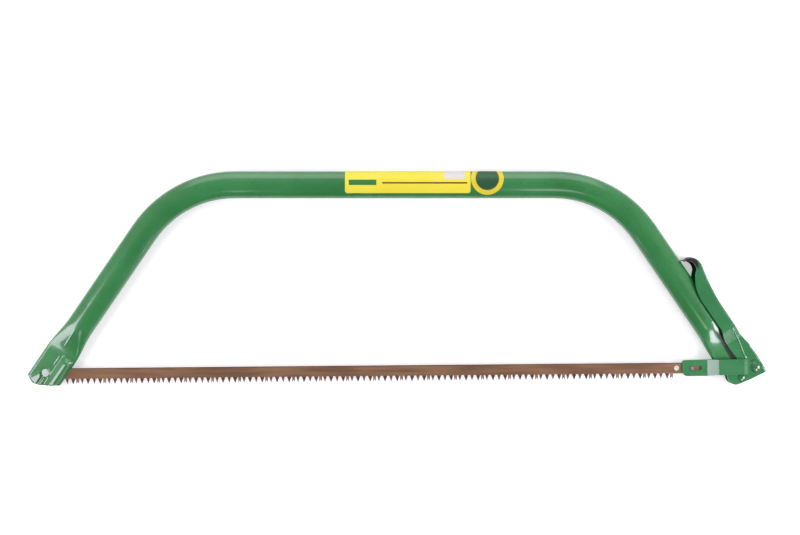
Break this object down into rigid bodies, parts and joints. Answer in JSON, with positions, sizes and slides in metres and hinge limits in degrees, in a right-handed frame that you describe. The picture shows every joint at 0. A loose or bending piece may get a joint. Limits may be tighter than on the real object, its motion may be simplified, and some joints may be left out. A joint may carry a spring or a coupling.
{
  "type": "bow saw",
  "caption": "Bow saw: oval steel tube frame with bent legs, a long toothed blade pinned at both ends and a hooked over-centre tension lever with a slotted link.",
  "frame": {"origin": "middle of the footprint, on the surface the saw lies on", "axes": "+X along the saw towards the tension lever, +Y from the blade to the top bar, +Z out of the side that faces up"},
  "size_m": [0.8746, 0.2544, 0.0214],
  "materials": {
    "frame_enamel": "gloss green enamel on steel tube",
    "lever_enamel": "gloss green enamel on pressed steel",
    "rivet_steel": "painted over rivet heads, bare shank",
    "blade_steel": "bronze-brown tempered blade",
    "pin_steel": "bright drawn steel",
    "label_yellow": "yellow printed film, bare of text"
  },
  "bodies": {
    "frame": {"frame_tube": "frame_enamel", "blade": "blade_steel", "blade_pin_left": "pin_steel", "blade_pin_right": "pin_steel", "pivot_bush": "pin_steel", "pivot_rivet": "rivet_steel", "bar_label": "label_yellow", "round_sticker": "label_yellow"},
    "lever": {"tension_lever": "lever_enamel", "heel_spacer": "pin_steel", "heel_rivet": "rivet_steel"},
    "link": {"strap_front": "lever_enamel", "strap_rear": "lever_enamel", "link_rivet": "rivet_steel"}
  },
  "joints": [
    {"name": "lever_swing", "type": "hinge", "parent": "frame", "child": "lever", "pos_m": [0.40336, -0.10691, 0.0107], "axis": [0, 0, 1], "range_deg": [-70, 0]},
    {"name": "link_swing", "type": "hinge", "parent": "lever", "child": "link", "pos_m": [0.42329, -0.1052, 0.0107], "axis": [0, 0, 1], "range_deg": [0, 52.01]}
  ],
  "couplings": [
    {"joint": "link_swing", "follows": "lever_swing", "ratio": -0.743}
  ]
}
